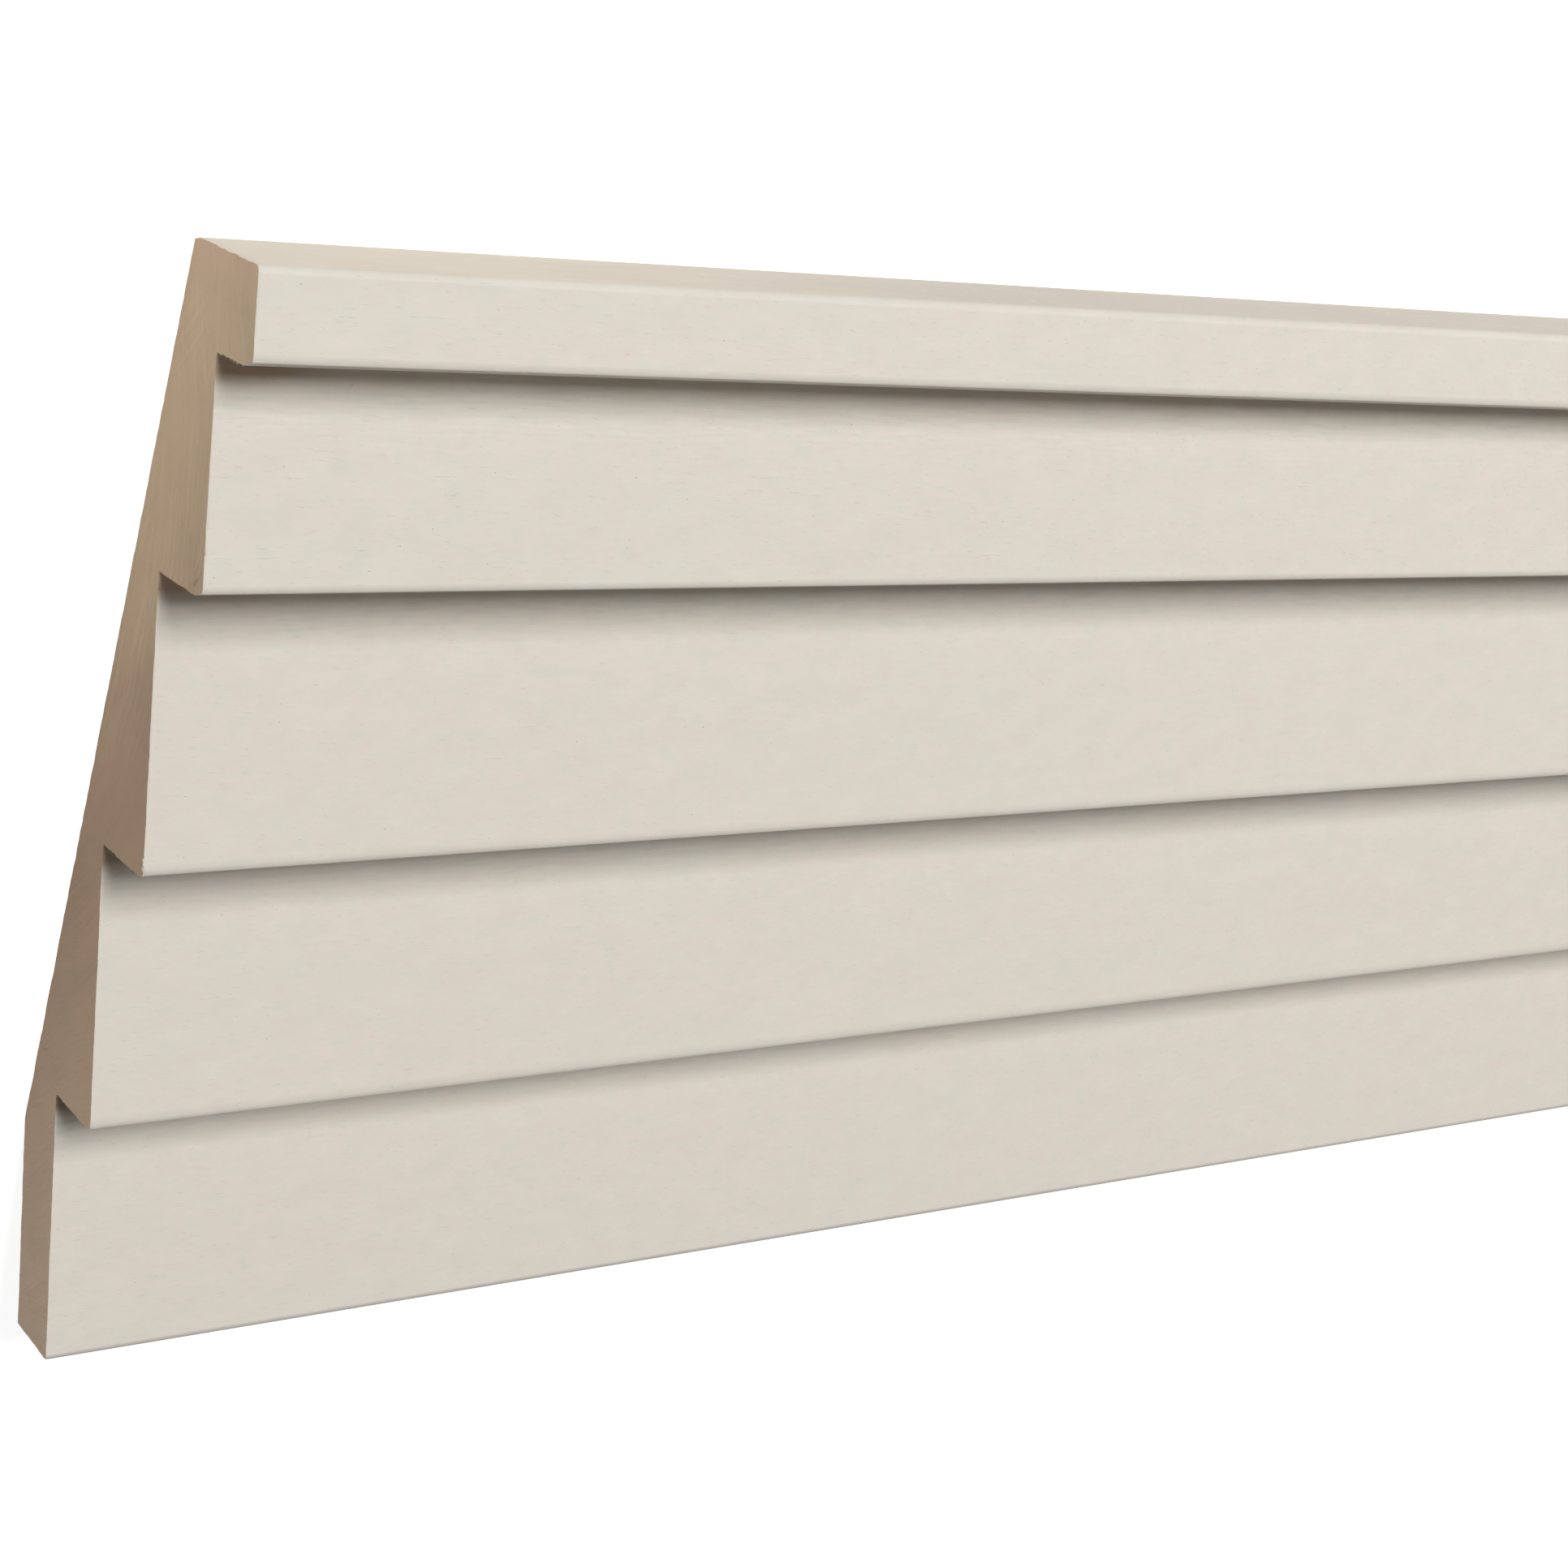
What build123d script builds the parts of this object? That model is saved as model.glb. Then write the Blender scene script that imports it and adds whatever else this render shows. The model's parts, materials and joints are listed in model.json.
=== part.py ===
from build123d import *
import os
from math import atan2, cos, degrees, sin

# Stepped cornice moulding: one run of stock, worked from a single board.
# Five flat fascias climb from the foot on the wall to the cap under the ceiling, and each
# stands out past the one below it over a square ledge. The back slopes between the wall
# face and the ceiling face. The run lies here on that sloping back: X is its length,
# Y goes from the foot to the cap, and Z rises out of the back towards the fascias.
# Lengths are in millimetres.

# Run
stock_length = 2438.4

# Fascia heights, from the foot up
foot_fascia_height = 32.4
second_fascia_height = 31.55
third_fascia_height = 30.25
fourth_fascia_height = 21.9
cap_fascia_height = 8.75

# Depth of the foot, and of each ledge above it
foot_depth = 9.2
second_ledge_depth = 9.95
third_ledge_depth = 10.6
fourth_ledge_depth = 10.25
cap_ledge_depth = 7.7

# Faces that bear on the wall and the ceiling
wall_face_height = 25.5
ceiling_face_depth = 12.7
cap_arris_depth = 1.1
cap_arris_height = 0.25

# How far each nose's ease runs back under it, from the foot up
foot_nose_ease = 0.7
second_nose_ease = 1.3
third_nose_ease = 1.6
fourth_nose_ease = 2.1
cap_nose_ease = 2.2

# Shape of a nose, as shares of its ease: a shallow slant runs forward under the tip, and a
# steep one runs from the tip up to the brow
tip_setback = 0.09
tip_rise = 0.27
brow_rise = 0.48
tip_round = 0.1
slant_round = 0.75

# Other eased edges
cap_edge_round = 0.8
cutter_round = 0.3

# Heights and fronts of the steps, measured up from the foot and out from the wall
fascia_heights = [
    foot_fascia_height,
    second_fascia_height,
    third_fascia_height,
    fourth_fascia_height,
    cap_fascia_height,
]
ledge_depths = [
    foot_depth,
    second_ledge_depth,
    third_ledge_depth,
    fourth_ledge_depth,
    cap_ledge_depth,
]
nose_eases = [
    foot_nose_ease,
    second_nose_ease,
    third_nose_ease,
    fourth_nose_ease,
    cap_nose_ease,
]
tops = [sum(fascia_heights[: step + 1]) for step in range(len(fascia_heights))]
fronts = [sum(ledge_depths[: step + 1]) for step in range(len(ledge_depths))]
section_height = tops[-1]
section_front = fronts[-1]

# The back runs from the top of the wall face to the arris behind the ceiling face
ceiling_face_back = section_front - ceiling_face_depth
back_top_out = ceiling_face_back - cap_arris_depth
back_top_up = section_height - cap_arris_height
spring_angle = atan2(back_top_out, back_top_up - wall_face_height)

# Across the lying run, from the foot's wall corner to the rounded edge of the cap
edge_loss = cap_edge_round * (cos(spring_angle) + sin(spring_angle) - 1)
section_width = section_front * sin(spring_angle) + section_height * cos(spring_angle) - edge_loss

# The section's own plane: out from the wall is its x, up the wall is its y
section_plane = Plane(
    origin=(0, -section_width / 2, wall_face_height * sin(spring_angle)),
    x_dir=(0, sin(spring_angle), cos(spring_angle)),
    z_dir=(-1, 0, 0),
)

# Outline from the foot's wall corner, out and up the steps, each with its nose, brow and top
outline = [(0, 0)]
rounds = []
for front, base, top, ease in zip(fronts, [0] + tops, tops, nose_eases):
    under = (front - ease, base)
    tip = (front - tip_setback * ease, base + tip_rise * ease)
    brow = (front, base + brow_rise * ease)
    outline += [under, tip, brow, (front, top)]
    rounds += [(under, slant_round * ease), (tip, tip_round * ease), (brow, slant_round * ease)]
    rounds.append(((front, top), cutter_round if top < section_height else cap_edge_round))

# Back over the ceiling face and down the slope to the wall face
outline += [(ceiling_face_back, section_height), (back_top_out, back_top_up), (0, wall_face_height)]

with BuildPart() as cornice_moulding:
    with BuildSketch(section_plane) as section:
        with BuildLine():
            Polyline(*outline, close=True)
        make_face()
        for corner, radius in rounds:
            fillet(section.vertices().sort_by_distance(corner)[0], radius=radius)
    extrude(amount=stock_length / 2, both=True)
cornice_moulding.part.label = "cornice_moulding"

print(f"spring angle {degrees(spring_angle):.2f} degrees")
print(f"section {section_width:.2f} mm across, {section_height:.2f} mm up the wall, {section_front:.2f} mm out")

os.makedirs("parts", exist_ok=True)
export_step(cornice_moulding.part, "parts/cornice_moulding.step")
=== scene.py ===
import json
import math
import random
from collections import namedtuple
from itertools import accumulate

import bmesh
import bpy
from bpy.props import FloatProperty, FloatVectorProperty, IntProperty, PointerProperty
from mathutils import Matrix, Vector, noise


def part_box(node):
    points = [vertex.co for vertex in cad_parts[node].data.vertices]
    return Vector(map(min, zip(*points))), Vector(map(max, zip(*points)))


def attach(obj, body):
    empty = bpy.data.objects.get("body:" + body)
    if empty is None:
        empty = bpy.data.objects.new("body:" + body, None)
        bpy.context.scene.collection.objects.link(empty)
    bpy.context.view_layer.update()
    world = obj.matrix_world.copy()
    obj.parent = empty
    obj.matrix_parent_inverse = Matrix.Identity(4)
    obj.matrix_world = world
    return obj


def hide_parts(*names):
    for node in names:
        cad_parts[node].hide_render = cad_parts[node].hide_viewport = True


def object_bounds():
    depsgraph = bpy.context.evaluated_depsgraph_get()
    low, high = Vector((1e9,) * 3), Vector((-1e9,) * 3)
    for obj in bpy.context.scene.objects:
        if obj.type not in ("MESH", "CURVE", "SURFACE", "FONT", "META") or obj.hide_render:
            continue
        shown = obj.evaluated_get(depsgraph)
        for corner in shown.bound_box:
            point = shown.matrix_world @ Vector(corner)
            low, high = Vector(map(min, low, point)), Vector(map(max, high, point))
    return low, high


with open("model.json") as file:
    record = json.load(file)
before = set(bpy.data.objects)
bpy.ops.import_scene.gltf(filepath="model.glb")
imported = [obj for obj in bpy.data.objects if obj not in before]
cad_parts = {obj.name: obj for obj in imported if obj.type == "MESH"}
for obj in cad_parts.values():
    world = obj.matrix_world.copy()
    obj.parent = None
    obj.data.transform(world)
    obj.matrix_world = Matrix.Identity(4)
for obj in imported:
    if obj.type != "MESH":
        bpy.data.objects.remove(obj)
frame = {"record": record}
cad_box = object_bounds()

bl_info = {
    "name": "Stepped Cornice Moulding",
    "version": (1, 0, 0),
    "blender": (4, 5, 0),
    "location": "3D View > Sidebar > Cornice",
    "description": "Dresses a length of primed, stepped cornice moulding and its studio",
    "category": "Add Mesh",
}

NODE = "cornice_moulding"
MM = 0.001
PRIMED, HAZED, BARE, SAWN = range(4)

# How squarely an edge or a face's normal has to point one way, to count as pointing that way
ALONG_RUN = 0.9
UP_TO_CEILING = 0.97
OUT_OF_BACK = 0.2

# Where the first ring lies between the cut and the inner ring, and how uneven the wear is
FIRST_RING = 0.4
FINE_WEAR = 900
COARSE_WEAR = 260
MEAN_WEAR = 0.7
LEAST_WEAR = 0.15

# Spread of the torn fibres' slope, in radians, and how many of them there are to one in painted shade
LEAN_SPREAD = 0.16
FIBRES_TO_A_SHADED_ONE = 3

# Cells of the pinhole pattern to the millimetre, and the share of them that have no hole
PINHOLE_CELLS = 0.33
PLAIN_CELLS = 0.93

# How far the tree's rings wander, and a middling radius of theirs, in millimetres
RING_WANDER = 9.0
RING_RADIUS = 70.0

# Slant of the saw's scores, in degrees
SCORE_SLANT = 40

# Sockets of a node that mixes two colours
MIX_FACTOR, MIX_FIRST, MIX_SECOND, MIX_RESULT = 0, 6, 7, 2

WOOD_SPECULAR = 0.35
SENSOR_WIDTH = 36
NEAREST_SEEN = 0.01
NODE_SPACING = 220

mounts = {mount["name"]: mount for mount in frame["record"]["mounts"]}


# Sizes and finishes that a user would change


def size(name, millimetres, description):
    """A length, kept in metres and given here in millimetres."""
    return FloatProperty(
        name=name,
        default=millimetres * MM,
        min=0.0,
        unit="LENGTH",
        precision=5,
        description=description,
    )


def share(name, part, description):
    """A share of some other size."""
    return FloatProperty(
        name=name,
        default=part,
        min=0.0,
        max=1.0,
        subtype="FACTOR",
        description=description,
    )


def tone(name, colour, description):
    """A colour, as linear red, green and blue."""
    return FloatVectorProperty(
        name=name,
        default=colour,
        min=0.0,
        max=1.0,
        subtype="COLOR",
        description=description,
    )


def slope(name, degrees, description):
    """An angle, kept in radians and given here in degrees."""
    radians = math.radians(degrees)
    return FloatProperty(name=name, default=radians, subtype="ANGLE", description=description)


def amount(name, value, description, unit="NONE"):
    """Any other measure, with its unit where it has one."""
    return FloatProperty(name=name, default=value, min=0.0, unit=unit, description=description)


def count(name, number, description, least=0):
    """A whole number."""
    return IntProperty(name=name, default=number, min=least, description=description)


class MouldingSection(bpy.types.PropertyGroup):
    """Sizes of the section, named from the foot up."""

    foot_fascia: size("Foot fascia", 32.4, "Height of the lowest fascia")
    second_fascia: size("Second fascia", 31.55, "Height of the second fascia")
    third_fascia: size("Third fascia", 30.25, "Height of the third fascia")
    fourth_fascia: size("Fourth fascia", 21.9, "Height of the fourth fascia")
    cap_fascia: size("Cap fascia", 8.75, "Height of the top fascia")
    foot_depth: size("Foot depth", 9.2, "Depth of the foot against the wall")
    second_ledge: size("Second ledge", 9.95, "How far the second fascia stands out past the foot")
    third_ledge: size("Third ledge", 10.6, "How far the third fascia stands out past the second")
    fourth_ledge: size("Fourth ledge", 10.25, "How far the fourth fascia stands out past the third")
    cap_ledge: size("Cap ledge", 7.7, "How far the cap stands out past the fourth fascia")
    wall_face: size("Wall face", 25.5, "Height of the flat that bears on the wall")
    ceiling_face: size("Ceiling face", 12.7, "Depth of the flat that bears on the ceiling")
    arris_depth: size("Arris depth", 1.1, "Depth of the flat behind the ceiling face")
    arris_height: size("Arris height", 0.25, "Height of the flat behind the ceiling face")
    foot_ease: size("Foot ease", 0.7, "How far the ease runs back under the foot")
    second_ease: size("Second ease", 1.3, "How far the ease runs back under the second nose")
    third_ease: size("Third ease", 1.6, "How far the ease runs back under the third nose")
    fourth_ease: size("Fourth ease", 2.1, "How far the ease runs back under the fourth nose")
    cap_ease: size("Cap ease", 2.2, "How far the ease runs back under the cap's nose")
    tip_setback: share("Tip setback", 0.09, "How far a nose's tip lies back, as a share of its ease")
    tip_rise: share("Tip rise", 0.27, "How far the shallow slant under the tip climbs")
    brow_rise: share("Brow rise", 0.48, "How high the brow lies, where the fascia starts")
    tip_round: share("Tip round", 0.1, "Round on the tip")
    slant_round: share("Slant round", 0.75, "Round at the brow and at the back of the shallow slant")
    cap_edge_round: size("Cap edge", 0.8, "Round on the front edge of the ceiling face")
    cutter_round: size("Cutter round", 0.3, "Round that the cutter leaves inside each step")
    round_segments: count("Round segments", 12, "Flats in each round", least=2)
    saw_setback: size("Saw setback", 0.06, "How far the sawn face lies behind its fibres and crumbs")
    saw_wear: size("Saw wear", 0.1, "How far the sawn end's edges are worn back")
    wear_depth: size("Wear depth", 0.25, "How far that wear reaches along the run")
    wear_step: size("Wear step", 0.4, "Distance between the points that shape the worn edge")


class MouldingFinish(bpy.types.PropertyGroup):
    """Colours of the primer and of the wood, with painted light and shade among them."""

    primer_cool: tone("Cool primer", (0.694, 0.650, 0.573), "Off-white primer that is a little greyer")
    primer_green: tone("Greenish primer", (0.660, 0.650, 0.575), "Small greener patches of the primer")
    primer_pink: tone("Pinkish primer", (0.705, 0.636, 0.568), "Small pinker patches of the primer")
    primer_warm: tone("Warm primer", (0.706, 0.648, 0.568), "Primer where the wood warms it")
    # Painted shade: the browner, darker primer mixed in inside the steps, for the warm bounce light in
    # the shade under the ledges
    step_shade_tone: tone("Thin primer", (0.560, 0.465, 0.350), "Primer where little of it reached the steps")
    # Partly unprimed wood, partly painted shade: the dark brown in the step corners near the cuts
    step_wood_and_shade: tone("Bare step", (0.470, 0.345, 0.243), "Unprimed wood in the steps near the cut")
    hazed: tone("Hazed wood", (0.755, 0.674, 0.560), "Ceiling face under a haze of primer")
    hazed_bare: tone("Barer haze", (0.748, 0.652, 0.530), "Haze near the ceiling face's front edge")
    # Darker haze further from the cuts
    hazed_far_tone: tone("Thin haze", (0.640, 0.572, 0.492), "Thinner haze further from the cuts")
    hazed_fleck: tone("Haze fleck", (0.830, 0.775, 0.685), "Specks of primer on the ceiling face")
    planed: tone("Planed wood", (0.560, 0.430, 0.310), "Bare planed wood on the back and the wall face")
    planed_pale: tone("Pale planed wood", (0.610, 0.490, 0.365), "Palest streaks of the planed wood")
    # Partly the wood's colour, partly painted shade: the end grain pale at the cap and dark half way up,
    # for light that falls off down the end
    end_pale_and_lit: tone("Pale end grain", (0.610, 0.460, 0.302), "End grain near the cap")
    end_dark_and_shaded: tone("Dark end grain", (0.332, 0.228, 0.147), "End grain half way up")
    end_foot: tone("Foot end grain", (0.412, 0.302, 0.211), "Greyer end grain at the foot")
    end_flush: tone("Flushed end grain", (0.645, 0.458, 0.308), "Pinker end grain at the cap's edge")
    # Lit and shaded copies of the torn fibres' wood: painted light on the pale fibre, painted shade on
    # the dark one
    fibre_lit_tone: tone("Pale fibre", (0.570, 0.440, 0.310), "Torn fibre that stands in the light")
    fibre_shade_tone: tone("Dark fibre", (0.400, 0.290, 0.205), "Torn fibre with the hollow beneath it")
    heart_back: size("Heart behind wall", 30, "How far the tree's heart lies behind the wall face")
    heart_up: size("Heart height", 105, "How high up the wall the tree's heart lies")


class MouldingFrays(bpy.types.PropertyGroup):
    """Fibres and crumbs that the saw left at the ends."""

    fibre_count: count("Fibres", 15, "Torn fibres at the fourth nose")
    fibre_length: size("Fibre length", 2.8, "Longest torn fibre")
    fibre_width: size("Fibre width", 0.26, "Widest torn fibre")
    fibre_lean: slope("Fibre lean", 63, "Slope of the fibres")
    tear_reach: size("Tear reach", 2.6, "How far back from the fourth nose the torn patch reaches")
    crumb_count: count("Crumbs", 150, "Primer crumbs along the edges of each end")
    crumb_size: size("Crumb size", 0.11, "Largest primer crumb along the edges")
    fringe_count: count("Fringe", 26, "Short fibres under each ledge's sawn edge")
    fringe_length: size("Fringe length", 0.24, "Longest fibre under a ledge's sawn edge")
    chip_count: count("Chips", 16, "Larger crumbs gathered at the third nose")
    seed: count("Seed", 7, "Start of the random draws")


class MouldingStage(bpy.types.PropertyGroup):
    """Camera, lamps and floor."""

    camera_place: FloatVectorProperty(
        name="Camera place",
        default=(-0.09849, 0.17220, 0.21228),
        subtype="TRANSLATION",
        description="Camera, from the near end of the run at the middle of its width",
    )
    camera_aim: FloatVectorProperty(
        name="Camera aim",
        default=(0.10455, -0.05545, 0.0),
        subtype="TRANSLATION",
        description="Point on the floor that the camera looks at, from the near end",
    )
    camera_roll: slope("Camera roll", 8.65, "Turn of the camera from the wall's upright")
    camera_lens: amount("Lens", 64.56, "Focal length for a sensor 36 mm wide", "CAMERA")
    camera_shift: amount("Shift", 0.2, "Rise of the lens, as a share of the frame")
    key_count: count("Key lamps", 3, "Lamps in the row beside the cap", least=1)
    key_spacing: amount("Key spacing", 1.2, "Between lamps of the row", "LENGTH")
    key_distance: amount("Key distance", 1.15, "From the run to the row of lamps", "LENGTH")
    key_rise: slope("Key rise", 41.5, "Angle of the row of lamps above the floor")
    key_size: amount("Key size", 0.43, "Side of each lamp in the row", "LENGTH")
    key_power: amount("Key power", 9.7, "Power of each lamp in the row", "POWER")
    fill_power: amount("Fill power", 16.5, "Power of the lamp off each end", "POWER")
    fill_size: amount("Fill size", 0.6, "Side of the lamp off each end", "LENGTH")
    fill_distance: amount("Fill distance", 2.0, "From each end of the run to its lamp", "LENGTH")
    fill_rise: share("Fill rise", 0.13, "Height of that lamp, as a share of its distance")
    ambient: amount("Ambient", 0.09, "Strength of the light from all round")
    floor_size: amount("Floor size", 14.0, "Side of the floor", "LENGTH")
    floor_grey: share("Floor grey", 0.5, "Share of the light that the floor gives back")
    floor_glow: amount("Floor glow", 0.87, "White added to the floor where the camera sees it")


# The section's own frame


def section_axes():
    """Directions out of the wall and up the wall, in the row frame."""
    out_axis = -Vector(mounts["wall_face"]["axis"])
    up_axis = Vector(mounts["ceiling_face"]["axis"])
    return out_axis.normalized(), up_axis.normalized()


def foot_corner(section):
    """The foot's corner against the wall, at the middle of the length."""
    return Vector(mounts["wall_face"]["pos_m"]) - section_axes()[1] * section.wall_face / 2


def place(section, along, out, up):
    """A point of the row frame from its place along the run, out of the wall and up it."""
    out_axis, up_axis = section_axes()
    return foot_corner(section) + Vector((along, 0, 0)) + out_axis * out + up_axis * up


Corner = namedtuple("Corner", "out up round")


def fronts_and_tops(section):
    """How far out each fascia stands, and how high its top is, from the foot up."""
    depths = [
        section.foot_depth,
        section.second_ledge,
        section.third_ledge,
        section.fourth_ledge,
        section.cap_ledge,
    ]
    heights = [
        section.foot_fascia,
        section.second_fascia,
        section.third_fascia,
        section.fourth_fascia,
        section.cap_fascia,
    ]
    return list(accumulate(depths)), list(accumulate(heights))


def section_front(section):
    """How far the cap stands out from the wall."""
    return fronts_and_tops(section)[0][-1]


def outline(section):
    """The section's corners, from the foot's wall corner out, up the steps and down the back."""
    fronts, tops = fronts_and_tops(section)
    eases = [
        section.foot_ease,
        section.second_ease,
        section.third_ease,
        section.fourth_ease,
        section.cap_ease,
    ]
    corners = [Corner(0, 0, 0)]
    for front, base, top, ease in zip(fronts, [0] + tops, tops, eases):
        slant_round = section.slant_round * ease
        tip_out = front - section.tip_setback * ease
        tip_up = base + section.tip_rise * ease
        top_round = section.cap_edge_round if top == tops[-1] else section.cutter_round
        corners.append(Corner(front - ease, base, slant_round))
        corners.append(Corner(tip_out, tip_up, section.tip_round * ease))
        corners.append(Corner(front, base + section.brow_rise * ease, slant_round))
        corners.append(Corner(front, top, top_round))
    ceiling_back = fronts[-1] - section.ceiling_face
    arris_out = ceiling_back - section.arris_depth
    corners.append(Corner(ceiling_back, tops[-1], 0))
    corners.append(Corner(arris_out, tops[-1] - section.arris_height, 0))
    corners.append(Corner(0, section.wall_face, 0))
    return corners


# The run


def is_lengthwise(edge):
    """Whether an edge runs along the moulding."""
    return abs(edge.verts[0].co.x - edge.verts[1].co.x) > ALONG_RUN * edge.calc_length()


def is_end(face):
    """Whether a face is a sawn end."""
    return abs(face.normal.x) > ALONG_RUN


def ease_edge(bm, section, corner):
    """Rounds the lengthwise edge through one corner of the section."""
    point = place(section, 0, corner.out, corner.up)

    def gap(edge):
        offset = edge.verts[0].co - point
        return math.hypot(offset.y, offset.z)

    edge = min(filter(is_lengthwise, bm.edges), key=gap)
    turn = edge.calc_face_angle()
    eased = bmesh.ops.bevel(
        bm,
        geom=[edge],
        offset=corner.round * math.tan(turn / 2),
        offset_type="OFFSET",
        segments=section.round_segments,
        profile=0.5,
        affect="EDGES",
        material=-1,
    )
    for face in eased["faces"]:
        face.smooth = True


def cut_rings(bm, ends, depth, step):
    """Opens both ends, and cuts two finely divided rings just inside each, to be worn."""
    end_faces = [face for face in bm.faces if is_end(face)]
    bmesh.ops.delete(bm, geom=end_faces, context="FACES_ONLY")
    for end, inward in ends:
        for reach in (FIRST_RING, 1.0):
            everything = bm.verts[:] + bm.edges[:] + bm.faces[:]
            plane = Vector((end + inward * depth * reach, 0, 0))
            bmesh.ops.bisect_plane(bm, geom=everything, plane_co=plane, plane_no=(1, 0, 0))
    long_edges = {}
    for edge in bm.edges:
        middle = (edge.verts[0].co.x + edge.verts[1].co.x) / 2
        in_ring = min(abs(middle - end) for end, _ in ends) < depth * 1.01
        pieces = round(edge.calc_length() / step)
        if in_ring and not is_lengthwise(edge) and pieces > 1:
            long_edges.setdefault(pieces - 1, []).append(edge)
    for cuts, edges in sorted(long_edges.items()):
        bmesh.ops.subdivide_edges(bm, edges=edges, cuts=cuts)


def wear_rings(bm, ends, depth, wear):
    """Wears the end's edges back unevenly, most at the cut and not at all at the inner ring."""
    moves = {}
    for vert in bm.verts:
        reach = min(abs(vert.co.x - end) for end, _ in ends) / depth
        sides = [face.normal for face in vert.link_faces if not is_end(face)]
        if reach < (1 + FIRST_RING) / 2 and sides:
            side = sum(sides, Vector()).normalized()
            uneven = noise.noise(vert.co * FINE_WEAR) + noise.noise(vert.co * COARSE_WEAR)
            moves[vert] = -side * wear * (1 - reach) ** 2 * max(LEAST_WEAR, MEAN_WEAR + uneven)
    for vert, move in moves.items():
        vert.co += move


def paint_faces(bm):
    """Gives each face its finish: sawn, bare behind, hazed under the ceiling, or primed."""
    out_axis, up_axis = section_axes()
    for face in bm.faces:
        if is_end(face):
            face.material_index = SAWN
        elif face.normal.dot(out_axis) < -OUT_OF_BACK:
            face.material_index = BARE
        elif face.normal.dot(up_axis) > UP_TO_CEILING:
            face.material_index = HAZED
        else:
            face.material_index = PRIMED


def run_mesh(section):
    """The run: its sharp outline drawn out along the length, then eased and worn."""
    low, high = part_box(NODE)
    near, far = low.x + section.saw_setback, high.x - section.saw_setback
    ends = [(near, 1), (far, -1)]
    bm = bmesh.new()
    corners = outline(section)
    ring = [bm.verts.new(place(section, near, corner.out, corner.up)) for corner in corners]
    grown = bmesh.ops.extrude_face_region(bm, geom=[bm.faces.new(ring)])
    far_ring = [item for item in grown["geom"] if isinstance(item, bmesh.types.BMVert)]
    bmesh.ops.translate(bm, verts=far_ring, vec=(far - near, 0, 0))
    for corner in corners:
        if corner.round > 0:
            ease_edge(bm, section, corner)
    cut_rings(bm, ends, section.wear_depth, section.wear_step)
    bmesh.ops.holes_fill(bm, edges=[edge for edge in bm.edges if edge.is_boundary])
    bmesh.ops.recalc_face_normals(bm, faces=bm.faces[:])
    paint_faces(bm)
    wear_rings(bm, ends, section.wear_depth, section.saw_wear)
    mesh = bpy.data.meshes.new("moulding_run")
    bm.to_mesh(mesh)
    bm.free()
    return mesh


# Materials


def add_node(tree, kind, inputs=None, **settings):
    """Adds a node, sets its options, and links or fills its inputs."""
    node = tree.nodes.new(kind)
    node.location = (NODE_SPACING * len(tree.nodes), 0)
    for key, value in settings.items():
        setattr(node, key, value)
    for key, value in (inputs or {}).items():
        if isinstance(value, bpy.types.NodeSocket):
            tree.links.new(value, node.inputs[key])
        else:
            node.inputs[key].default_value = value
    return node


def start_material(name):
    """A material with an empty tree and its output node."""
    material = bpy.data.materials.new(name)
    material.use_nodes = True
    tree = material.node_tree
    tree.nodes.clear()
    return material, tree


def maths(tree, operation, *values):
    """The result of one Math node."""
    return add_node(tree, "ShaderNodeMath", dict(enumerate(values)), operation=operation).outputs[0]


def grey(tree, value):
    """A grey of the given value, to multiply a colour by."""
    return add_node(tree, "ShaderNodeCombineColor", {0: value, 1: value, 2: value}).outputs[0]


def product(tree, first, second):
    """Two values multiplied together."""
    return maths(tree, "MULTIPLY", first, second)


def axis(tree, coords, letter):
    """One of the three coordinates alone."""
    return add_node(tree, "ShaderNodeSeparateXYZ", {"Vector": coords}).outputs[letter]


def speckle(tree, coords, spacing, detail=2.0):
    """Noise from 0 to 1, with its spacing along each axis in millimetres."""
    scale = [1 / step for step in spacing]
    scaled = add_node(tree, "ShaderNodeMapping", {"Vector": coords, "Scale": scale})
    settings = {"Vector": scaled.outputs["Vector"], "Scale": 1.0, "Detail": detail}
    return add_node(tree, "ShaderNodeTexNoise", settings).outputs["Fac"]


def ripple(tree, coords, spacing, detail=2.0):
    """Noise about 0, with its spacing along each axis in millimetres."""
    return maths(tree, "SUBTRACT", speckle(tree, coords, spacing, detail), 0.5)


def remap(tree, value, low, high, new_low=0.0, new_high=1.0):
    """The value eased from one range to another and held within it."""
    settings = {
        "Value": value,
        "From Min": low,
        "From Max": high,
        "To Min": new_low,
        "To Max": new_high,
    }
    node = add_node(tree, "ShaderNodeMapRange", settings, interpolation_type="SMOOTHSTEP")
    return node.outputs["Result"]


def mix_colours(tree, mix, first, second, blend="MIX"):
    """Two colours mixed, from 0 for the first to 1 for the second."""
    node = add_node(tree, "ShaderNodeMix", data_type="RGBA", blend_type=blend)
    for socket, value in ((MIX_FACTOR, mix), (MIX_FIRST, first), (MIX_SECOND, second)):
        if isinstance(value, bpy.types.NodeSocket):
            tree.links.new(value, node.inputs[socket])
        else:
            node.inputs[socket].default_value = value if socket == MIX_FACTOR else (*value, 1)
    return node.outputs[MIX_RESULT]


def layered(tree, *layers):
    """1 plus patterns, each by its own strength."""
    total = 1.0
    for pattern, strength in layers:
        total = maths(tree, "MULTIPLY_ADD", pattern, strength, total)
    return total


def shaded(tree, colour, *layers):
    """The colour made lighter or darker by patterns, each by its own strength."""
    return mix_colours(tree, 1.0, colour, grey(tree, layered(tree, *layers)), blend="MULTIPLY")


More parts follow.
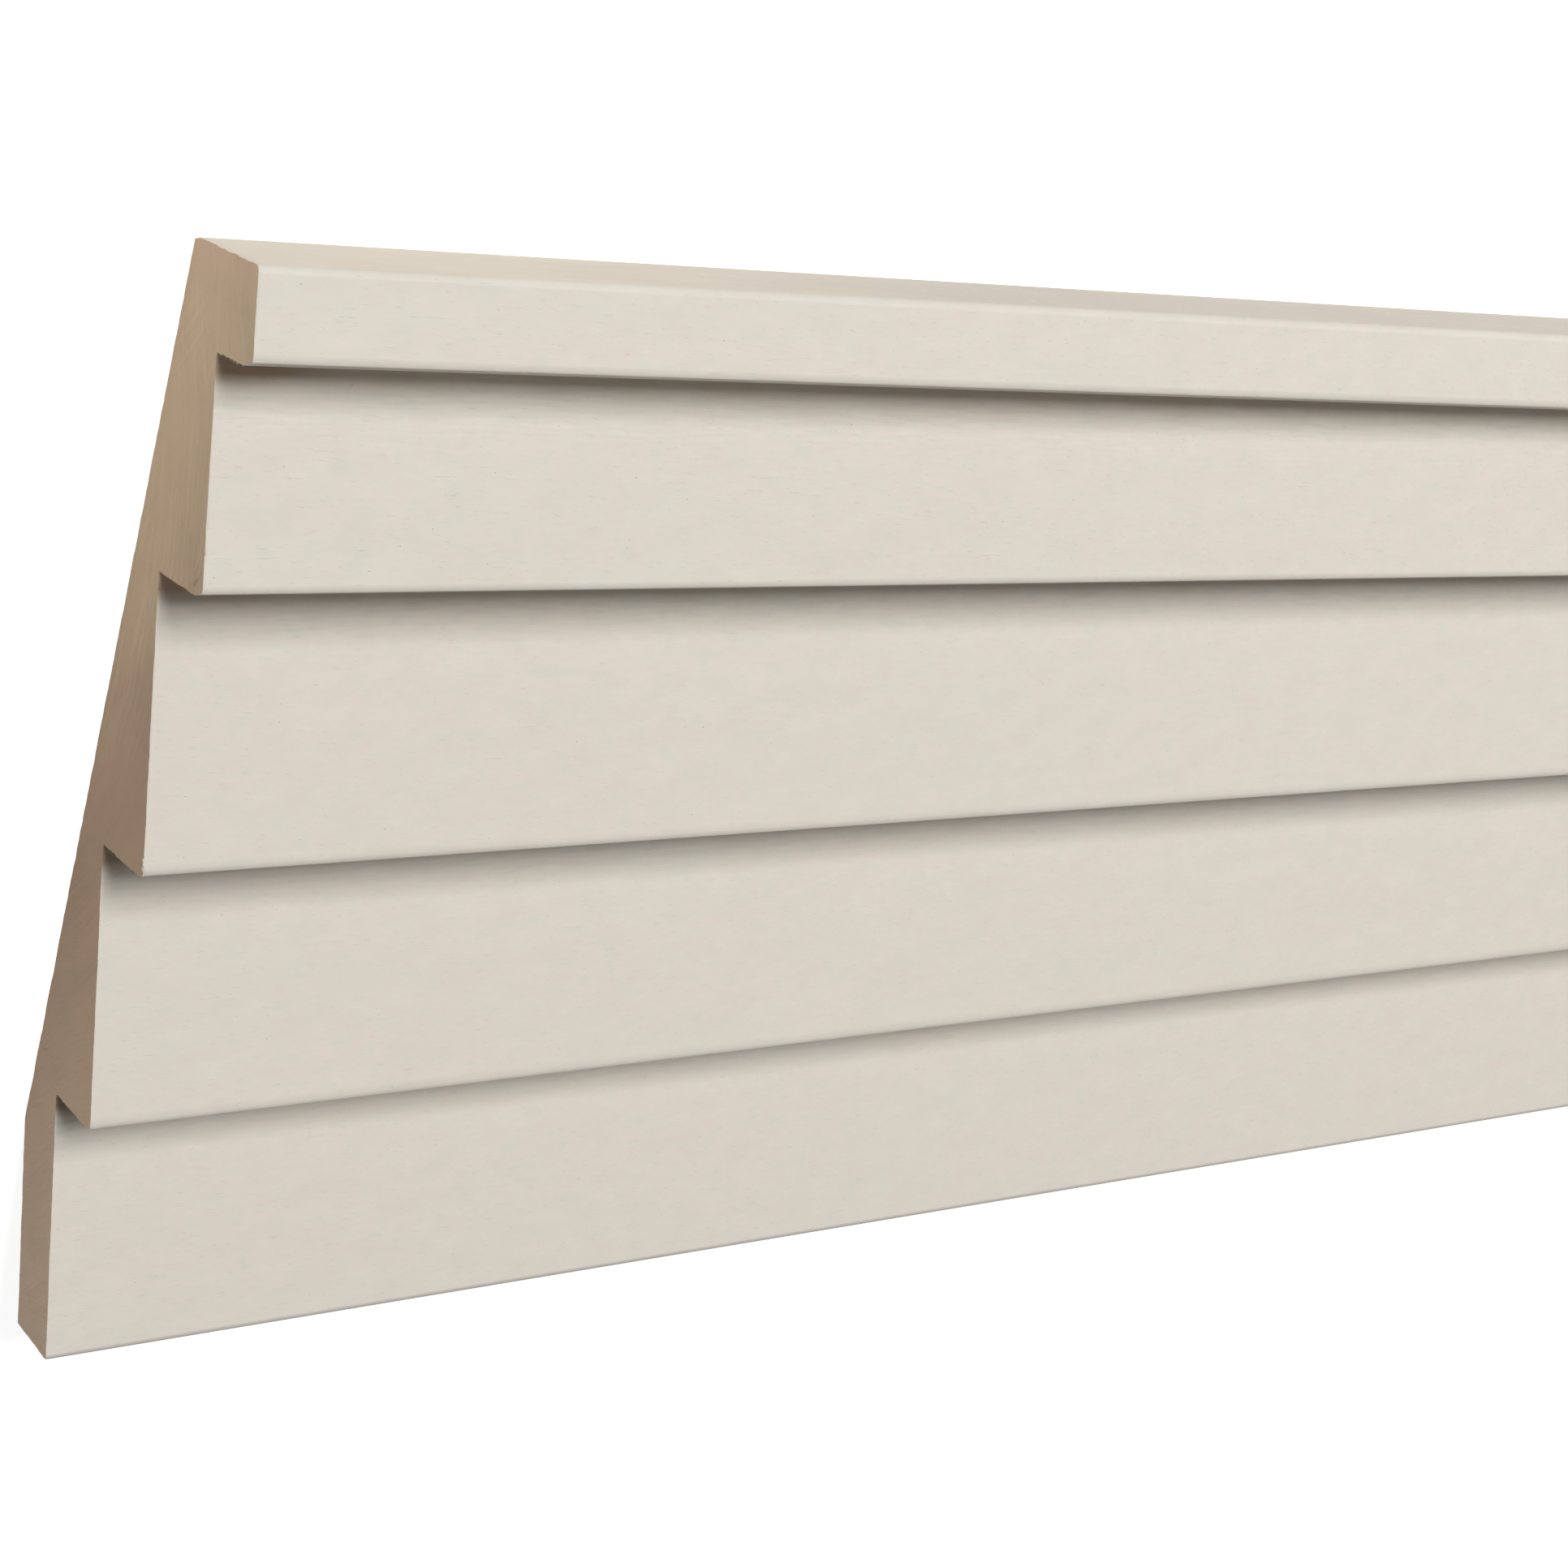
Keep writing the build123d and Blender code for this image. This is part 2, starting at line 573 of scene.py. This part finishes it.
def grain_coords(tree, section):
    """Millimetres along the run, up the wall and out of it, as x, y and z."""
    tilt = math.asin(section_axes()[0].y)
    turned_corner = Matrix.Rotation(tilt, 3, "X") @ foot_corner(section) / MM
    coords = add_node(tree, "ShaderNodeTexCoord").outputs["Object"]
    settings = {
        "Vector": coords,
        "Scale": (1 / MM,) * 3,
        "Rotation": (tilt, 0, 0),
        "Location": -turned_corner,
    }
    return add_node(tree, "ShaderNodeMapping", settings).outputs["Vector"]


def section_distance(tree, coords, out, up):
    """Distance in the section from a line along the run, in millimetres."""
    flat = add_node(tree, "ShaderNodeVectorMath", {0: coords, 1: (0, 1, 1)}, operation="MULTIPLY")
    points = {0: flat.outputs[0], 1: (0, up, out)}
    return add_node(tree, "ShaderNodeVectorMath", points, operation="DISTANCE").outputs["Value"]


def close_material(tree, colour, height, roughness, depth):
    """Ends a material with its shader, its fine relief in millimetres and its output."""
    bump = add_node(tree, "ShaderNodeBump", {"Height": height, "Distance": depth * MM})
    settings = {
        "Base Color": colour,
        "Roughness": roughness,
        "Specular IOR Level": WOOD_SPECULAR,
        "Normal": bump.outputs["Normal"],
    }
    shader = add_node(tree, "ShaderNodeBsdfPrincipled", settings)
    add_node(tree, "ShaderNodeOutputMaterial", {"Surface": shader.outputs[0]})


def pinholes(tree, coords):
    """Tiny round pinholes, about one to a square centimetre."""
    across = maths(tree, "ADD", axis(tree, coords, "Y"), axis(tree, coords, "Z"))
    flat = add_node(tree, "ShaderNodeCombineXYZ", {"X": axis(tree, coords, "X"), "Y": across})
    settings = {"Vector": flat.outputs[0], "Scale": PINHOLE_CELLS}
    cells = add_node(tree, "ShaderNodeTexVoronoi", settings, voronoi_dimensions="2D")
    chosen = add_node(tree, "ShaderNodeSeparateColor", {"Color": cells.outputs["Color"]})
    kept = maths(tree, "GREATER_THAN", chosen.outputs[0], PLAIN_CELLS)
    hole = remap(tree, cells.outputs["Distance"], 0.010, 0.030, 1.0, 0.0)
    return product(tree, hole, kept)


def nearest_line(tree, coords, lines):
    """Distance in the section from the nearest of some lines along the run, in millimetres."""
    distances = [section_distance(tree, coords, out / MM, up / MM) for out, up in lines]
    nearest = distances[0]
    for distance in distances[1:]:
        nearest = maths(tree, "MINIMUM", nearest, distance)
    return nearest


def step_shade(tree, coords, section, low, high, wander):
    """1 inside the steps, falling to 0 between two uneven distances out, in millimetres."""
    fronts, tops = fronts_and_tops(section)
    nearest = nearest_line(tree, coords, list(zip(fronts[:-1], tops[:-1])))
    shifted = maths(tree, "MULTIPLY_ADD", speckle(tree, coords, (9, 3, 3)), wander, nearest)
    return remap(tree, shifted, low, high, 1.0, 0.0)


def cut_shade(tree, coords, low, high):
    """1 at the sawn ends, falling to 0 between two distances along the run, in millimetres."""
    from_middle = maths(tree, "ABSOLUTE", axis(tree, coords, "X"))
    from_cut = maths(tree, "SUBTRACT", cad_box[1].x / MM, from_middle)
    return remap(tree, from_cut, low, high, 1.0, 0.0)


def painted_edge_shade(tree, coords, section):
    """Painted shade along the noses and the foot's edge, where shade falls under them, and on the cap's
    round front edge, to damp the light that the round catches.
    """
    fronts, tops = fronts_and_tops(section)
    lower_noses = [(fronts[2], tops[1]), (fronts[1], tops[0])]
    edges = (
        ([(fronts[3], tops[2])], 0.5, 1.3, 1.0),
        (lower_noses, 0.5, 1.9, 1.7),
        ([(fronts[0], 0)], 0.3, 0.9, 5.0),
        ([(fronts[4], tops[4])], 0.4, 0.85, 1.2),
    )
    total = 0.0
    for lines, near, far, strength in edges:
        edge_shade = remap(tree, nearest_line(tree, coords, lines), near, far, strength, 0.0)
        total = maths(tree, "ADD", total, edge_shade)
    return total


def tinted_primer(tree, coords, finish):
    """Primer clouded between cool and warm, with small greener and pinker patches."""
    clouds = remap(tree, speckle(tree, coords, (28, 12, 12)), 0.35, 0.65)
    tint = speckle(tree, coords, (2.6, 1.5, 1.5), detail=4.0)
    green = product(tree, remap(tree, tint, 0.52, 0.66), 0.52)
    pink = product(tree, remap(tree, tint, 0.36, 0.48, 1.0, 0.0), 0.4)
    colour = mix_colours(tree, clouds, finish.primer_cool, finish.primer_warm)
    colour = mix_colours(tree, green, colour, finish.primer_green)
    return mix_colours(tree, pink, colour, finish.primer_pink)


def primer_material(section, finish):
    """Off-white primer: faintly clouded, dented along the grain, with a few pinholes, with painted shade
    in the steps and on the edges, and painted light towards the foot.
    """
    material, tree = start_material("primer_on_fascias")
    coords = grain_coords(tree, section)
    colour = tinted_primer(tree, coords, finish)
    # Painted shade: a browner primer inside the steps, for the warm light that bounces between them
    shade_tint = product(tree, step_shade(tree, coords, section, 1.5, 5.5, 3.0), 0.6)
    colour = mix_colours(tree, shade_tint, colour, finish.step_shade_tone)
    # Partly unprimed wood, partly painted shade: dark brown in the step corners near the cuts
    in_steps = step_shade(tree, coords, section, 1.9, 3.7, 1.0)
    corner_wood_and_shade = product(tree, in_steps, cut_shade(tree, coords, 5.0, 14.0))
    colour = mix_colours(tree, corner_wood_and_shade, colour, finish.step_wood_and_shade)
    patches = ripple(tree, coords, (5, 3, 3), detail=3.0)
    weave = ripple(tree, coords, (1.6, 0.5, 0.5), detail=3.0)
    dashes = remap(tree, speckle(tree, coords, (1.1, 0.24, 0.24), detail=1.0), 0.64, 0.76)
    holes = pinholes(tree, coords)
    # Painted shade on the noses, the foot's edge and the cap's edge
    edge_shade = painted_edge_shade(tree, coords, section)
    # Painted light and shade: fine streaks along the run in the soft edge of each ledge's shadow, as
    # grazing light on the primer would give
    under_ledges = step_shade(tree, coords, section, 4.0, 12.0, 3.0)
    penumbra_streaks = product(tree, ripple(tree, coords, (5.0, 0.35, 0.35)), under_ledges)
    # Painted light: the primer made a little lighter towards the foot, where the lamps' light falls off
    cap_height = fronts_and_tops(section)[1][-1] / MM
    lower = remap(tree, axis(tree, coords, "Y"), 0.0, cap_height, 1.0, 0.0)
    # Painted shade: those corners darkened more in the lower steps
    low_corner_shade = product(tree, corner_wood_and_shade, lower)
    colour = shaded(
        tree,
        colour,
        (patches, 0.09),
        (weave, 0.06),
        (dashes, -0.06),
        (holes, -0.22),
        # Painted shade on the edges
        (edge_shade, -0.08),
        # Painted light and shade streaks in the shadows' soft edges
        (penumbra_streaks, 0.22),
        # Painted light, lighter towards the foot
        (lower, 0.04),
        # Painted shade, deeper in the corners of the lower steps
        (low_corner_shade, -0.71),
    )
    height = layered(tree, (patches, 0.6), (weave, 0.5), (dashes, -0.35), (holes, -1.5))
    close_material(tree, colour, height, roughness=0.6, depth=0.025)
    return material


def hazed_material(section, finish):
    """Planed wood hazed with primer: blotched, barer in front, and darker away from the cuts."""
    material, tree = start_material("hazed_ceiling_face")
    coords = grain_coords(tree, section)
    blotches = speckle(tree, coords, (14, 5, 5), detail=3.0)
    front = section_front(section) / MM
    behind_front = maths(tree, "SUBTRACT", front, axis(tree, coords, "Z"))
    reach = maths(tree, "MULTIPLY_ADD", blotches, 9.0, behind_front)
    colour = mix_colours(tree, remap(tree, reach, 3.5, 11.0), finish.hazed_bare, finish.hazed)
    # Darker further from the cuts
    cut_nearness = maths(tree, "MULTIPLY_ADD", blotches, 0.3, cut_shade(tree, coords, 5.0, 95.0))
    colour = mix_colours(tree, remap(tree, cut_nearness, 0.15, 1.15), finish.hazed_far_tone, colour)
    flecks = remap(tree, speckle(tree, coords, (1.6, 0.35, 0.35), detail=1.0), 0.68, 0.76)
    colour = mix_colours(tree, product(tree, flecks, 0.7), colour, finish.hazed_fleck)
    streaks = ripple(tree, coords, (30, 0.7, 0.7), detail=3.0)
    uneven = maths(tree, "SUBTRACT", blotches, 0.5)
    colour = shaded(tree, colour, (uneven, 0.12), (streaks, 0.07))
    close_material(tree, colour, streaks, roughness=0.6, depth=0.03)
    return material


def planed_material(section, finish):
    """Bare planed wood on the back and the wall face, with the grain drawn out along the run."""
    material, tree = start_material("bare_planed_wood")
    coords = grain_coords(tree, section)
    bands = remap(tree, speckle(tree, coords, (260, 5, 5), detail=3.0), 0.3, 0.7)
    streaks = ripple(tree, coords, (40, 0.6, 0.6), detail=4.0)
    pores = remap(tree, speckle(tree, coords, (3, 0.15, 0.15), detail=1.0), 0.62, 0.72)
    colour = mix_colours(tree, bands, finish.planed, finish.planed_pale)
    colour = shaded(tree, colour, (streaks, 0.25), (pores, -0.15))
    close_material(tree, colour, streaks, roughness=0.65, depth=0.06)
    return material


def ring_coords(tree, coords, finish):
    """Coordinates round the tree's heart: distance round the rings, then out from the heart."""
    back, height = finish.heart_back / MM, finish.heart_up / MM
    level = maths(tree, "SUBTRACT", axis(tree, coords, "Y"), height)
    reach = maths(tree, "ADD", axis(tree, coords, "Z"), back)
    wander = product(tree, speckle(tree, coords, (40, 25, 25)), RING_WANDER)
    radius = maths(tree, "ADD", section_distance(tree, coords, -back, height), wander)
    round_rings = product(tree, maths(tree, "ARCTAN2", level, reach), RING_RADIUS)
    settings = {"X": round_rings, "Y": radius, "Z": axis(tree, coords, "X")}
    return add_node(tree, "ShaderNodeCombineXYZ", settings).outputs[0]


def end_colour(tree, coords, rings, finish):
    """End grain's broad colours: dark half way up, paler to the cap, and greyer at the foot. The fall
    from the pale cap to the dark middle is partly the wood's colour and partly painted shade, for light
    that falls off down the end.
    """
    up, out = axis(tree, coords, "Y"), axis(tree, coords, "Z")
    fade = maths(tree, "MULTIPLY_ADD", out, -0.75, up)
    fade = maths(tree, "MULTIPLY_ADD", speckle(tree, coords, (9, 9, 9)), 8.0, fade)
    step_up = product(tree, remap(tree, fade, 67.0, 71.0), 0.15)
    pale = maths(tree, "ADD", step_up, remap(tree, fade, 50.0, 100.0, 0.0, 0.85))
    colour = mix_colours(tree, pale, finish.end_dark_and_shaded, finish.end_pale_and_lit)
    cap_edge = product(
        tree,
        remap(tree, up, 120.5, 124.5),
        remap(tree, out, 34.0, 42.0, 0.5, 0.9),
    )
    colour = mix_colours(tree, cap_edge, colour, finish.end_flush)
    colour = mix_colours(tree, remap(tree, up, 8.0, 62.0, 1.0, 0.0), colour, finish.end_foot)
    blush = speckle(tree, rings, (16, 0.9, 16), detail=3.0)
    blush = product(tree, remap(tree, blush, 0.46, 0.64, 0.0, 0.4), pale)
    return mix_colours(tree, blush, colour, finish.end_flush)


def front_shade(tree, coords, section):
    """Above 0 towards the fascias on the lower end grain, and below 0 there near the cap."""
    up, out = axis(tree, coords, "Y"), axis(tree, coords, "Z")
    lean = math.tan(math.asin(section_axes()[0].y))
    above_wall = maths(tree, "SUBTRACT", up, section.wall_face / MM)
    above_wall = maths(tree, "MAXIMUM", above_wall, 0.0)
    from_back = maths(tree, "MULTIPLY_ADD", above_wall, -lean, out)
    by_height = remap(tree, up, 62.0, 86.0, 1.0, -0.8)
    return product(tree, remap(tree, from_back, 3.0, 13.0), by_height)


def saw_scores(tree, coords):
    """Fine scores that the saw left across the end, as noise about 0 drawn out on a slant."""
    slant = {"Vector": coords, "Rotation": (math.radians(SCORE_SLANT), 0, 0)}
    turned = add_node(tree, "ShaderNodeMapping", slant).outputs["Vector"]
    where = remap(tree, speckle(tree, coords, (16, 16, 16)), 0.5, 0.68)
    return product(tree, ripple(tree, turned, (9, 0.32, 9), detail=1.0), where)


def sawn_material(section, finish):
    """End grain: ringed round the heart, flecked, and scored by the saw."""
    material, tree = start_material("sawn_end_grain")
    coords = grain_coords(tree, section)
    rings = ring_coords(tree, coords, finish)
    lines = ripple(tree, rings, (7, 0.3, 7))
    pores = ripple(tree, coords, (0.3, 0.3, 0.3))
    scores = saw_scores(tree, coords)
    flecks = remap(tree, speckle(tree, rings, (2.0, 0.18, 2.0), detail=1.0), 0.65, 0.75)
    colour = shaded(
        tree,
        end_colour(tree, coords, rings, finish),
        (front_shade(tree, coords, section), 0.09),
        (ripple(tree, rings, (45, 2.2, 45)), 0.14),
        (lines, 0.11),
        (flecks, -0.13),
        (ripple(tree, coords, (5, 5, 5), detail=4.0), 0.16),
        (pores, 0.07),
        (scores, 0.20),
    )
    height = layered(tree, (lines, 1.0), (scores, 0.8), (pores, 0.5))
    close_material(tree, colour, height, roughness=0.75, depth=0.06)
    return material


def fibre_material(name, section, colour):
    """Torn wood fibre, streaked lighter and darker."""
    material, tree = start_material(name)
    streaks = ripple(tree, grain_coords(tree, section), (0.4, 0.4, 0.4))
    colour = shaded(tree, colour, (streaks, 0.5))
    close_material(tree, colour, streaks, roughness=0.8, depth=0.02)
    return material


# Operators


def add_piece(mesh, *materials):
    """Shows a finished mesh as a piece of the moulding."""
    for material in materials:
        mesh.materials.append(material)
    piece = bpy.data.objects.new(mesh.name, mesh)
    bpy.context.scene.collection.objects.link(piece)
    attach(piece, "root")
    return piece


class MOULDING_OT_run(bpy.types.Operator):
    """Build the run of moulding with its eased edges, its primed front and its sawn ends"""

    bl_idname = "moulding.run"
    bl_label = "Moulding Run"
    bl_options = {"REGISTER", "UNDO"}

    def execute(self, context):
        section = context.scene.moulding_section
        finish = context.scene.moulding_finish
        materials = [
            primer_material(section, finish),
            hazed_material(section, finish),
            planed_material(section, finish),
            sawn_material(section, finish),
        ]
        piece = add_piece(run_mesh(section), *materials)
        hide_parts(NODE)
        return {"FINISHED"}


def joined_mesh(name, add_shapes):
    """One mesh from many small shapes, held inside the moulding's own box."""
    bm = bmesh.new()
    add_shapes(bm)
    low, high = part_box(NODE)
    for vert in bm.verts:
        vert.co = [min(max(value, least), most) for value, least, most in zip(vert.co, low, high)]
    bmesh.ops.recalc_face_normals(bm, faces=bm.faces[:])
    mesh = bpy.data.meshes.new(name)
    bm.to_mesh(mesh)
    bm.free()
    return mesh


def add_cone(bm, base_radius, tip_radius, length, segments, matrix, **finish):
    """A closed, tapering fibre, whose faces are given their finish."""
    made = bmesh.ops.create_cone(
        bm,
        cap_ends=True,
        segments=segments,
        radius1=base_radius,
        radius2=tip_radius,
        depth=length,
        matrix=matrix,
    )
    for face in {face for vert in made["verts"] for face in vert.link_faces}:
        for name, value in finish.items():
            setattr(face, name, value)


def add_fibre(bm, section, frays, draw, number):
    """One flat, tapering fibre on the near end's face, close behind the fourth nose."""
    out_axis, up_axis = section_axes()
    fronts, tops = fronts_and_tops(section)
    lean = frays.fibre_lean + draw.uniform(-LEAN_SPREAD, LEAN_SPREAD)
    along = out_axis * math.cos(lean) + up_axis * math.sin(lean)
    across = Vector((1, 0, 0)).cross(along)
    forward = draw.random()
    out = fronts[3] - frays.tear_reach * (1 - 0.9 * forward)
    up = tops[2] + frays.tear_reach * (0.35 + forward) + draw.uniform(-0.5, 0.5) * MM
    spot = place(section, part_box(NODE)[0].x + section.saw_setback, out, up)
    turn = Matrix((Vector((1, 0, 0)), across, along)).transposed().to_4x4()
    width = frays.fibre_width * draw.uniform(0.45, 1.0)
    flatness = min(1.0, section.saw_setback * draw.uniform(0.8, 1.6) / width)
    length = frays.fibre_length * draw.uniform(0.3, 1.0)
    matrix = Matrix.Translation(spot) @ turn @ Matrix.Diagonal((flatness, 1, 1, 1))
    # One fibre in every few takes the painted shade colour, the rest the painted light colour
    shaded_fibre = int(number % FIBRES_TO_A_SHADED_ONE == 0)
    add_cone(bm, width / 2, width / 8, length, 6, matrix, material_index=shaded_fibre, smooth=True)


def add_fringe(bm, section, frays, draw, end, inward):
    """Short fibres that hang under the sawn edge of each ledge."""
    fronts, tops = fronts_and_tops(section)
    out_axis, up_axis = section_axes()
    upright = Vector((0, 0, 1)).rotation_difference(-up_axis)
    for step in range(len(fronts) - 1):
        back = fronts[step] + section.cutter_round
        front = fronts[step + 1] - section.fourth_ease
        for number in range(frays.fringe_count):
            length = frays.fringe_length * draw.uniform(0.3, 1.0)
            radius = frays.fibre_width * draw.uniform(0.15, 0.35)
            out = draw.uniform(back, front)
            lean = out_axis * draw.uniform(-0.5, 0.5)
            spot = place(section, end + inward * radius, out, tops[step] - length / 4)
            turn = (-up_axis).rotation_difference(lean - up_axis) @ upright
            matrix = Matrix.Translation(spot) @ turn.to_matrix().to_4x4()
            # Fibres take the painted light and the painted shade colours by turns
            add_cone(bm, radius, radius / 3, length, 5, matrix, material_index=number % 2)


def torn_fibres(section, frays):
    """The torn patch behind the fourth nose, and the fringe under the ledges at both ends."""
    draw = random.Random(frays.seed)
    low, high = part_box(NODE)

    def add_shapes(bm):
        for number in range(frays.fibre_count):
            add_fibre(bm, section, frays, draw, number)
        add_fringe(bm, section, frays, draw, low.x + section.saw_setback, 1)
        add_fringe(bm, section, frays, draw, high.x - section.saw_setback, -1)

    return joined_mesh("torn_fibres", add_shapes)


def add_crumb(bm, spot, radius, draw):
    """One rough crumb of primer."""
    stretch = Matrix.Diagonal([draw.uniform(0.6, 1.2) for _ in range(3)]).to_4x4()
    angle = draw.uniform(0, math.tau)
    pivot = Vector([draw.uniform(-1, 1) for _ in range(3)])
    matrix = Matrix.Translation(spot) @ Matrix.Rotation(angle, 4, pivot) @ stretch
    bmesh.ops.create_icosphere(bm, subdivisions=1, radius=radius, matrix=matrix)


def primer_crumbs(section, frays):
    """Crumbs of primer along the sawn edges of the fascias, gathered at the third nose."""
    draw = random.Random(frays.seed + 1)
    fronts, tops = fronts_and_tops(section)
    low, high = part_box(NODE)
    fascias = list(zip(fronts, [0] + tops, tops))
    heights = [top - base for _, base, top in fascias]

    def add_shapes(bm):
        for end in (low.x + section.saw_setback, high.x - section.saw_setback):
            for _ in range(frays.crumb_count):
                front, base, top = draw.choices(fascias, weights=heights)[0]
                radius = frays.crumb_size / 2 * draw.uniform(0.35, 1.0)
                up = draw.uniform(base + section.fourth_ease / 2, top - section.cutter_round)
                out = front - radius * draw.uniform(0.2, 1.4)
                add_crumb(bm, place(section, end, out, up), radius, draw)
        for _ in range(frays.chip_count):
            radius = frays.crumb_size * draw.uniform(0.5, 1.5)
            out = fronts[2] - draw.uniform(0.0, 0.35) * MM
            up = tops[1] + draw.uniform(0.4, 2.2) * MM
            add_crumb(bm, place(section, low.x + section.saw_setback, out, up), radius, draw)

    return joined_mesh("primer_crumbs", add_shapes)


class MOULDING_OT_frays(bpy.types.Operator):
    """Add the torn fibres and the primer crumbs that the saw left at the ends"""

    bl_idname = "moulding.frays"
    bl_label = "Fibres and Crumbs"
    bl_options = {"REGISTER", "UNDO"}

    def execute(self, context):
        section = context.scene.moulding_section
        finish = context.scene.moulding_finish
        frays = context.scene.moulding_frays
        # Lit and shaded copies of the fibre wood: painted light and painted shade
        pale = fibre_material("lit_torn_fibre", section, finish.fibre_lit_tone)
        shaded_fibre = fibre_material("shaded_torn_fibre", section, finish.fibre_shade_tone)
        add_piece(torn_fibres(section, frays), pale, shaded_fibre)
        add_piece(primer_crumbs(section, frays), bpy.data.materials["primer_on_fascias"])
        return {"FINISHED"}


def stage_floor(stage):
    """A pale floor that looks white where the light falls on it, and keeps the shadow."""
    bm = bmesh.new()
    bmesh.ops.create_grid(bm, x_segments=1, y_segments=1, size=stage.floor_size / 2)
    mesh = bpy.data.meshes.new("floor")
    bm.to_mesh(mesh)
    bm.free()
    material, tree = start_material("pale_floor")
    pale = (stage.floor_grey,) * 3 + (1,)
    matt = add_node(tree, "ShaderNodeBsdfDiffuse", {"Color": pale})
    strength = product(tree, seen_share(tree), stage.floor_glow)
    glow = add_node(tree, "ShaderNodeEmission", {"Strength": strength})
    both = add_node(tree, "ShaderNodeAddShader", {0: matt.outputs[0], 1: glow.outputs[0]})
    add_node(tree, "ShaderNodeOutputMaterial", {"Surface": both.outputs[0]})
    mesh.materials.append(material)
    floor = bpy.data.objects.new("floor", mesh)
    bpy.context.scene.collection.objects.link(floor)


def seen_share(tree):
    """1 where a ray comes from the camera, a reflection or through glass, and 0 for the rest."""
    path = add_node(tree, "ShaderNodeLightPath")
    seen = maths(tree, "MAXIMUM", path.outputs["Is Camera Ray"], path.outputs["Is Glossy Ray"])
    return maths(tree, "MAXIMUM", seen, path.outputs["Is Transmission Ray"])


def stage_world(stage):
    """A white surround that gives only a little light of its own."""
    world = bpy.data.worlds.new("white_surround")
    world.use_nodes = True
    tree = world.node_tree
    tree.nodes.clear()
    strength = remap(tree, seen_share(tree), 0.0, 1.0, stage.ambient, 1.0)
    white = {"Color": (1, 1, 1, 1), "Strength": strength}
    background = add_node(tree, "ShaderNodeBackground", white)
    add_node(tree, "ShaderNodeOutputWorld", {"Surface": background.outputs[0]})
    bpy.context.scene.world = world


def add_lamp(name, location, target, power, side):
    """A square lamp that faces a point."""
    lamp = bpy.data.lights.new(name, "AREA")
    lamp.shape = "SQUARE"
    lamp.size = side
    lamp.energy = power
    holder = bpy.data.objects.new(name, lamp)
    holder.location = location
    holder.rotation_euler = (target - location).to_track_quat("-Z", "Y").to_euler()
    bpy.context.scene.collection.objects.link(holder)


def stage_lamps(stage):
    """A row of soft lamps beside the cap, along the run, and a faint one off each end."""
    middle = (cad_box[0].x + cad_box[1].x) / 2
    rise = Vector((0, math.cos(stage.key_rise), math.sin(stage.key_rise)))
    for number in range(stage.key_count):
        along = (number - (stage.key_count - 1) / 2) * stage.key_spacing
        target = Vector((middle + along, 0, 0))
        location = target + rise * stage.key_distance
        add_lamp(f"key_lamp_{number + 1}", location, target, stage.key_power, stage.key_size)
    for name, end, side in (("near_fill", cad_box[0], -1), ("far_fill", cad_box[1], 1)):
        target = Vector((end.x, 0, 0))
        location = target + Vector((side, 0, stage.fill_rise)) * stage.fill_distance
        add_lamp(name, location, target, stage.fill_power, stage.fill_size)


def stage_camera(stage):
    """The camera at the photograph's viewing angle, looking down on the near end."""
    near_end = Vector((cad_box[0].x, 0, 0))
    location = near_end + Vector(stage.camera_place)
    backward = (location - near_end - Vector(stage.camera_aim)).normalized()
    right = section_axes()[1].cross(backward).normalized()
    level = Matrix((right, backward.cross(right), backward)).transposed()
    camera = bpy.data.cameras.new("camera")
    camera.lens = stage.camera_lens
    camera.sensor_width = SENSOR_WIDTH
    camera.shift_y = stage.camera_shift
    camera.clip_start = NEAREST_SEEN
    holder = bpy.data.objects.new("camera", camera)
    holder.location = location
    holder.rotation_euler = (level @ Matrix.Rotation(stage.camera_roll, 3, "Z")).to_euler()
    bpy.context.scene.collection.objects.link(holder)
    bpy.context.scene.camera = holder


class MOULDING_OT_stage(bpy.types.Operator):
    """Set up the pale floor, the soft lamps, the white surround and the camera"""

    bl_idname = "moulding.stage"
    bl_label = "Studio"
    bl_options = {"REGISTER", "UNDO"}

    def execute(self, context):
        stage = context.scene.moulding_stage
        stage_floor(stage)
        stage_world(stage)
        stage_lamps(stage)
        stage_camera(stage)
        context.scene.view_settings.view_transform = "Standard"
        return {"FINISHED"}


class MOULDING_PT_sidebar(bpy.types.Panel):
    """Lists the steps and the sizes of the moulding"""

    bl_label = "Cornice Moulding"
    bl_space_type = "VIEW_3D"
    bl_region_type = "UI"
    bl_category = "Cornice"

    def draw(self, context):
        layout = self.layout
        for operator in STEPS:
            layout.operator(operator.bl_idname)
        for group_name in GROUPS:
            group = getattr(context.scene, group_name)
            box = layout.box()
            for name in group.bl_rna.properties.keys():
                if name not in ("rna_type", "name"):
                    box.prop(group, name)


STEPS = (MOULDING_OT_run, MOULDING_OT_frays, MOULDING_OT_stage)
GROUPS = {
    "moulding_section": MouldingSection,
    "moulding_finish": MouldingFinish,
    "moulding_frays": MouldingFrays,
    "moulding_stage": MouldingStage,
}
CLASSES = (*GROUPS.values(), *STEPS, MOULDING_PT_sidebar)


def register():
    for item in CLASSES:
        bpy.utils.register_class(item)
    for name, group in GROUPS.items():
        setattr(bpy.types.Scene, name, PointerProperty(type=group))


def unregister():
    for name in GROUPS:
        delattr(bpy.types.Scene, name)
    for item in reversed(CLASSES):
        bpy.utils.unregister_class(item)


def main():
    register()
    bpy.ops.moulding.run()
    bpy.ops.moulding.frays()
    bpy.ops.moulding.stage()


if __name__ == "__main__":
    main()
